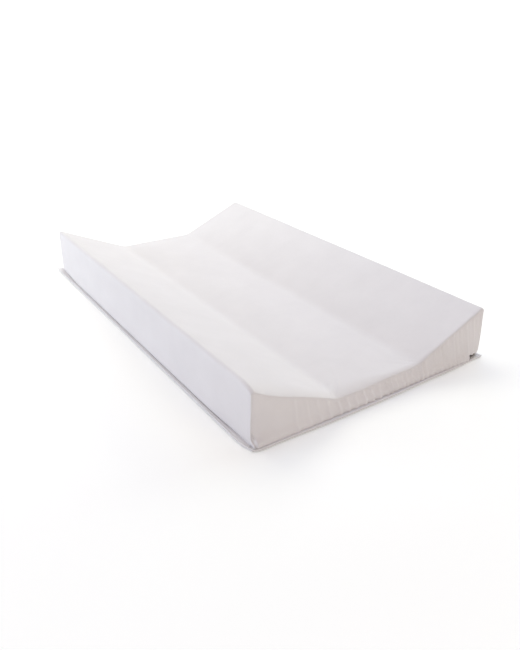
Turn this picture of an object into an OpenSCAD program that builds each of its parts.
// Wedge-sided changing pad: a foam core in a zipped, sewn cover.
// Origin at the centre of the underside, on the floor plane. +Z up, X across the
// pad, Y along its length. The zipped (near) end faces -Y.

/* [Pad] */
// Width of the padded body, without the hem
pad_w = 450; // [400:5:600]
// Length of the padded body, without the hem
pad_l = 750; // [600:5:900]
// Height of the two long edges
pad_h = 90; // [75:1:120]
// Thickness along the flat middle
centre_t = 30; // [22:1:45]
// Width of each sloped wedge
wedge_w = 143; // [100:1:160]
// Outside radius of the folded long edges
edge_r = 5; // [3:0.5:8]
// Radius of the hollow where a wedge meets the flat middle
valley_r = 40; // [10:5:50]

/* [Cover] */
// Thickness of the cover fabric
fabric_t = 0.8; // [0.6:0.1:1]
// How far the hem stands out at the floor
hem_w = 10; // [8:1:14]
// Thickness of the binding strip folded round the hem
binding_t = 0.6; // [0.4:0.1:0.8]
// Width of each leg of the folded binding
binding_leg = 6; // [4:0.5:7]
// Thickness of the sewing thread
thread_d = 0.4; // [0.3:0.1:0.6]

/* [Foam] */
// Clearance between the foam and the cover
foam_gap = 0.3; // [0.2:0.1:1]
// Distance from the outer face of the zipped end to the foam
zip_room = 2.8; // [2.6:0.1:6]

/* [Zip] */
// Height of the middle of the zip chain
zip_z = 5.4; // [5.4:0.1:8]
// Thickness of each woven tape
tape_t = 0.6; // [0.4:0.1:0.6]
// Height of the upper tape, from its edge at the chain
tape_w = 14; // [8:1:16]
// Gap between the two tapes
tape_gap = 2.4; // [2.4:0.1:3]
// Spacing of the teeth along one coil
tooth_pitch = 2.0; // [1.6:0.1:3]
// Depth of the coil, front to back
coil_d = 1.76; // [1.5:0.01:1.8]
// Length of the slider
slider_l = 9.5; // [8:0.5:12]
// Reach of the puller from its hinge
puller_l = 16; // [10:0.5:18]
// Angle of the parked puller, out from the chain
puller_rest = 18; // [5:1:25]

/* [Hidden] */

$fn = 48;
half_w = pad_w / 2;
half_l = pad_l / 2;
// How far a cutting shape passes the faces it cuts through
over = 1;

wedge_color = [0.95, 0.93, 0.85];
end_color = [0.88, 0.85, 0.84];
thread_color = [0.97, 0.97, 0.98];
tape_color = [0.94, 0.94, 0.95];
stop_color = [0.62, 0.60, 0.57];

// Section of the pad, in X and Z (held as x and y). The folded edge is an arc about
// edge_centre, the wedge falls from it at the angle slope to the flat middle, and
// the hollow is an arc about valley_centre.
edge_centre = [half_w - edge_r, pad_h - edge_r];
flat_half = half_w - wedge_w;
foot_to_edge = edge_centre - [flat_half, centre_t];
slope = atan(foot_to_edge.y / foot_to_edge.x) + asin(edge_r / norm(foot_to_edge));
valley_centre = [flat_half - valley_r * tan(slope / 2), centre_t + valley_r];
edge_steps = 9;
valley_steps = 8;

// Layers of the hem, from the floor up
panel_z0 = binding_t;
panel_z1 = panel_z0 + fabric_t;
lip_z1 = panel_z1 + fabric_t;
hem_z = lip_z1 + binding_t;
// Reach of the layers inside the folded binding
lip_w = hem_w - binding_t - 0.1;

// Foam
foam_inset = fabric_t + foam_gap;
slab_gap = 0.1;
glue_gap = 0.05;
slab_top = centre_t - foam_inset - slab_gap;
foam_y0 = -half_l + zip_room;
foam_y1 = half_l - fabric_t - 0.6;

// Zip tapes, just behind the near end panel
tape_y0 = -half_l + fabric_t;
tape_y1 = tape_y0 + tape_t;
tape_half = half_w - 1.5;
tape_hi = zip_z + tape_gap / 2;
tape_lo = zip_z - tape_gap / 2;
tape_play = 0.02;

// Zip coils, on the outer face of the tapes
coil_y1 = tape_y0 - tape_play;
coil_y0 = coil_y1 - coil_d;

// Slider: its plates lie in front of the coils and behind the tapes
slider_half = 3.2;
slider_shoulder = slider_half - 0.15;
slider_gap = 0.1;
plate_t = 0.7;
front_y1 = coil_y0 - slider_gap;
front_y0 = front_y1 - plate_t;
back_y0 = tape_y1 + slider_gap;
back_y1 = back_y0 + plate_t;
slider_x = half_w - 9;
slider_x0 = slider_x - slider_l / 2;
slider_x1 = slider_x + slider_l / 2;
post_x0 = slider_x1 - 3.8;
pin_y = front_y0 - 0.8;

// Places along the chain
bottom_stop_x = -half_w + 12;
chain_x0 = bottom_stop_x + 2.3;
chain_x1 = post_x0 - 0.6;
coil_end = slider_x1 + 0.3;
top_stop_x = slider_x1 + 0.5;

// End panels and the seams that close them
end_inset = fabric_t + 0.05;
near_panel_z0 = zip_z + slider_half + 0.3;
seam_d = 0.3;
seam_gap = 0.05;

// Points on an arc from angle a0 to angle a1
function arc(centre, radius, a0, a1, steps) =
    [for (k = [0 : steps])
        let (angle = a0 + (a1 - a0) * k / steps)
            centre + radius * [cos(angle), sin(angle)]];
function turned(points) = [for (k = [len(points) - 1 : -1 : 0]) points[k]];
function flipped(points) = [for (p = turned(points)) [-p.x, p.y]];

// Skin of the pad moved inwards by inset: folded edge, right half and whole
function edge_arc(inset) = arc(edge_centre, edge_r - inset, 0, 90 + slope, edge_steps);
function half_skin(inset) =
    concat(edge_arc(inset),
           arc(valley_centre, valley_r + inset, 270 + slope, 270, valley_steps));
function skin(inset) = concat(half_skin(inset), flipped(half_skin(inset)));

// Filled section moved inwards by inset and cut flat at height z
module section(inset, z) {
    polygon(concat([[half_w - inset, z]], skin(inset), [[-half_w + inset, z]]));
}

// Extrudes a section drawn in X and Z from y0 to y1
module along_y(y0, y1) {
    translate([0, y1, 0])
        rotate([90, 0, 0])
            linear_extrude(y1 - y0)
                children();
}

// Box from its lowest corner to its highest
module box(low, high) {
    translate(low) cube(high - low);
}

// Box centred on the Z axis, from its half sizes in X and Y
module centred_box(half, z0, z1) {
    box([-half.x, -half.y, z0], [half.x, half.y, z1]);
}

// Rectangular ring, from its outer and inner half sizes
module ring(outer, inner, z0, z1) {
    difference() {
        centred_box(outer, z0, z1);
        centred_box(inner, z0 - over, z1 + over);
    }
}

// Half sizes of the body with a margin all round
function body_half(margin) = [half_w + margin, half_l + margin];

module foam_base_slab() {
    color([0.96, 0.94, 0.87])
        box([-half_w + foam_inset, foam_y0, fabric_t + slab_gap],
            [half_w - foam_inset, foam_y1, slab_top]);
}

// One wedge, on top of the slab on the +X side
module wedge() {
    edge = edge_arc(foam_inset);
    // The slope is carried on below the slab's top, and cut there
    slope_run = (foot_to_edge.y + edge_r) / tan(slope) + over;
    slope_end = edge[edge_steps] - slope_run * [1, tan(slope)];
    along_y(foam_y0, foam_y1)
        intersection() {
            polygon(concat([[half_w - foam_inset, 0]], edge, [slope_end]));
            translate([0, slab_top + glue_gap]) square([half_w, pad_h]);
        }
}

module foam_wedge_right() {
    color(wedge_color) wedge();
}

module foam_wedge_left() {
    color(wedge_color) mirror([1, 0, 0]) wedge();
}

// Top and both long sides in one sheet, with a lip each side for the hem
module wrap_panel() {
    lip_x = half_w + lip_w;
    inner_x = half_w - fabric_t;
    color([0.93, 0.92, 0.94])
        along_y(-half_l, half_l)
            polygon(concat([[lip_x, panel_z1], [lip_x, lip_z1], [half_w, lip_z1]],
                           skin(0),
                           [[-half_w, lip_z1], [-lip_x, lip_z1],
                            [-lip_x, panel_z1], [-inner_x, panel_z1]],
                           turned(skin(fabric_t)),
                           [[inner_x, panel_z1]]));
}

// End panel over the zip: it stops just above the slider
module end_panel_near() {
    color(end_color)
        along_y(-half_l, -half_l + fabric_t) section(end_inset, near_panel_z0);
}

// Plain end panel, with a lip turned outwards for the hem
module end_panel_far() {
    end_y0 = half_l - fabric_t;
    lip_half = half_w - end_inset;
    color(end_color)
        union() {
            along_y(end_y0, half_l) section(end_inset, panel_z1);
            box([-lip_half, end_y0, panel_z1], [lip_half, half_l + lip_w, lip_z1]);
        }
}

// Underside, stepped up at its edge so that the binding can pass beneath it
module bottom_panel() {
    step_overlap = 1;
    color([0.91, 0.90, 0.91])
        union() {
            centred_box(body_half(step_overlap), 0, fabric_t);
            ring(body_half(lip_w), body_half(0), panel_z0, panel_z1);
        }
}

// Strip folded round the raw edges of the hem
module hem_binding() {
    color([0.95, 0.95, 0.96])
        difference() {
            centred_box(body_half(hem_w), 0, hem_z);
            centred_box(body_half(hem_w - binding_t), binding_t, lip_z1);
            centred_box(body_half(hem_w - binding_leg), -over, hem_z + over);
        }
}

// Stitch line on top of the binding, all the way round
module hem_thread() {
    stitch_inset = 1.6; // from the inner edge of the binding
    inner = hem_w - binding_leg + stitch_inset;
    color(thread_color)
        ring(body_half(inner + thread_d), body_half(inner), hem_z, hem_z + thread_d / 2);
}

// Closing seam inside an end: a thread that follows the section's sides and top
module seam_thread(y0) {
    seam_inset = fabric_t + 0.1;
    top_drop = 0.5; // makes the thread taller along the top than it is wide
    along_y(y0, y0 + seam_d)
        difference() {
            section(seam_inset, near_panel_z0 + 1);
            translate([0, -top_drop]) section(seam_inset + seam_d, near_panel_z0);
        }
}

module seam_thread_near_end() {
    color(thread_color) seam_thread(-half_l + fabric_t + seam_gap);
}

module seam_thread_far_end() {
    color(thread_color) seam_thread(half_l - fabric_t - seam_gap - seam_d);
}

module zip_tape_upper() {
    color(tape_color)
        box([-tape_half, tape_y0, tape_hi], [tape_half, tape_y1, tape_hi + tape_w]);
}

// Lower tape: turned outwards at its foot and caught in the hem
module zip_tape_lower() {
    color(tape_color)
        union() {
            box([-tape_half, tape_y0, panel_z1], [tape_half, tape_y1, tape_lo]);
            box([-tape_half, -half_l - lip_w, panel_z1],
                [tape_half, tape_y1, panel_z1 + tape_t]);
        }
}

// Turns a part of the zip upside down about the middle of the chain
module flip_on_chain() {
    translate([0, 0, 2 * zip_z]) mirror([0, 0, 1]) children();
}

// A part of the zip together with its flipped twin
module above_and_below() {
    children();
    flip_on_chain() children();
}

// Outline of the upper coil as a comb: a back along the tape, and teeth that reach
// down past the middle of the chain. shift moves the teeth along.
function comb(shift) =
    let (back_top = 2.2,
         back_low = back_top - 0.7,
         tooth_tip = -0.5,
         first_x = chain_x0 + 0.2 + shift,
         tooth_w = 0.35 * tooth_pitch,
         teeth = floor((chain_x1 - chain_x0 - tooth_pitch) / tooth_pitch))
    concat(
        [[chain_x0, back_top], [chain_x0, back_low]],
        [for (k = [0 : teeth - 1])
            let (x = first_x + k * tooth_pitch)
                each [[x, back_low], [x, tooth_tip],
                      [x + tooth_w, tooth_tip], [x + tooth_w, back_low]]],
        [[coil_end, back_low], [coil_end, back_top]]);

module coil(shift) {
    translate([0, 0, zip_z])
        along_y(coil_y0, coil_y1) polygon(comb(shift));
}

module zip_coil_upper() {
    color(thread_color) coil(0);
}

// Half a pitch along, so that its teeth fall between the upper ones
module zip_coil_lower() {
    color(thread_color) flip_on_chain() coil(tooth_pitch / 2);
}

// Room for the upper tape inside a stop, from x0 to x1
module tape_slot(x0, x1) {
    box([x0, tape_y0 - tape_play, tape_hi - tape_play],
        [x1, tape_y1 + tape_play, tape_hi + 3]);
}

// Wall of both kinds of stop behind the tapes
stop_back_t = 0.5;

// One clip, open upwards round the edge of the upper tape
module top_stop() {
    clip_l = 1.9;
    front_t = 0.8;
    floor_t = 0.35;
    rise = 1.8;
    difference() {
        box([top_stop_x, tape_y0 - front_t, tape_hi - floor_t],
            [top_stop_x + clip_l, tape_y1 + stop_back_t, tape_hi + rise]);
        tape_slot(top_stop_x - 1, top_stop_x + 3);
    }
}

module zip_top_stops() {
    color(stop_color) above_and_below() top_stop();
}

// Clip that holds both tapes together at the blind end of the chain
module zip_bottom_stop() {
    clip_half = 2.8;
    color(stop_color)
        difference() {
            box([bottom_stop_x - 1, coil_y0, zip_z - clip_half],
                [bottom_stop_x + 2, tape_y1 + stop_back_t, zip_z + clip_half]);
            above_and_below() tape_slot(bottom_stop_x - 2, bottom_stop_x + 4);
        }
}

// Row of stitching, drawn as one bar, on the near end panel above its lower edge
module zip_topstitch_thread() {
    stitch_z = near_panel_z0 + 2.4;
    stitch_half = half_w - 2;
    color(thread_color)
        box([-stitch_half, -half_l - thread_d / 2, stitch_z],
            [stitch_half, -half_l, stitch_z + thread_d]);
}

// Outline of both slider plates in X and Z, about the chain's middle
module slider_plate() {
    end_half = slider_half - 0.5;
    left_x = slider_x0 + 0.6;
    right_x = slider_x1 - 1;
    polygon([[slider_x0, end_half], [slider_x0, -end_half],
             [left_x, -slider_shoulder], [right_x, -slider_half],
             [slider_x1, -end_half], [slider_x1, end_half],
             [right_x, slider_half], [left_x, slider_shoulder]]);
}

// Post between the slider plates, pointed towards the closed chain
module slider_post() {
    post_half = 1;
    flank_x = post_x0 + 1.4;
    post_x1 = post_x0 + 3;
    polygon([[post_x0, 0], [flank_x, post_half], [post_x1, post_half],
             [post_x1, -post_half], [flank_x, -post_half]]);
}

// Bail on the front plate, in X and Y: a bridge with its outer corners cut
module slider_bail(root_y) {
    outer = 2.6;
    inner = 1.9;
    front_y = pin_y - 1.5;
    corner_y = pin_y - 0.9;
    inside_y = pin_y - 0.8;
    right_half = [[outer, root_y], [inner, root_y], [inner, inside_y]];
    front_edge = [[-outer, corner_y], [-inner, front_y], [inner, front_y], [outer, corner_y]];
    polygon([for (p = concat(front_edge, right_half, flipped(right_half)))
                [slider_x + p.x, p.y]]);
}

// Slider: two plates joined by a post between the tapes, a rail along each edge of
// the front plate, and a bail that holds the puller
module zip_slider_body() {
    joint = 0.2; // how far the parts sink into the plates
    rail_t = 0.6;
    bail_t = 1.6;
    color([0.34, 0.32, 0.30])
        translate([0, 0, zip_z])
            union() {
                along_y(front_y0, front_y1) slider_plate();
                along_y(back_y0, back_y1) slider_plate();
                along_y(front_y1 - joint, back_y0 + joint) slider_post();
                for (z = [-slider_shoulder, slider_shoulder - rail_t])
                    box([slider_x0 + 0.6, front_y1 - joint, z],
                        [slider_x1 - 1, tape_y0 - 0.15, z + rail_t]);
                translate([0, 0, -bail_t / 2])
                    linear_extrude(bail_t)
                        slider_bail(front_y0 + joint);
            }
}

// Puller: a pin behind the bail, two arms past it, and a tab with a round hole
module zip_puller() {
    half_width = 1.9;
    thickness = 0.9;
    pin_r = 0.5;
    arm_t = 0.8;
    arm_x0 = -0.4;
    arm_x1 = 3.8;
    tab_x0 = 3.4;
    tip_r = 2;
    tip_overlap = 0.1;
    hole_r = 0.85;
    hole_x = puller_l - 2.1;
    color([0.30, 0.28, 0.26])
        translate([slider_x, pin_y, zip_z]) rotate([0, 0, puller_rest]) mirror([1, 0, 0])
            union() {
                translate([0, 0, -half_width]) cylinder(r = pin_r, h = 2 * half_width);
                for (z = [-half_width, half_width - arm_t])
                    box([arm_x0, -thickness / 2, z], [arm_x1, thickness / 2, z + arm_t]);
                along_y(-thickness / 2, thickness / 2)
                    difference() {
                        union() {
                            translate([tab_x0, -half_width])
                                square([puller_l - tip_r + tip_overlap - tab_x0,
                                        2 * half_width]);
                            translate([puller_l - tip_r, 0]) circle(r = tip_r);
                        }
                        translate([hole_x, 0]) circle(r = hole_r);
                    }
            }
}

foam_base_slab();
foam_wedge_left();
foam_wedge_right();
wrap_panel();
end_panel_near();
end_panel_far();
bottom_panel();
hem_binding();
hem_thread();
seam_thread_near_end();
seam_thread_far_end();
zip_tape_upper();
zip_tape_lower();
zip_coil_upper();
zip_coil_lower();
zip_top_stops();
zip_bottom_stop();
zip_topstitch_thread();
zip_slider_body();
zip_puller();
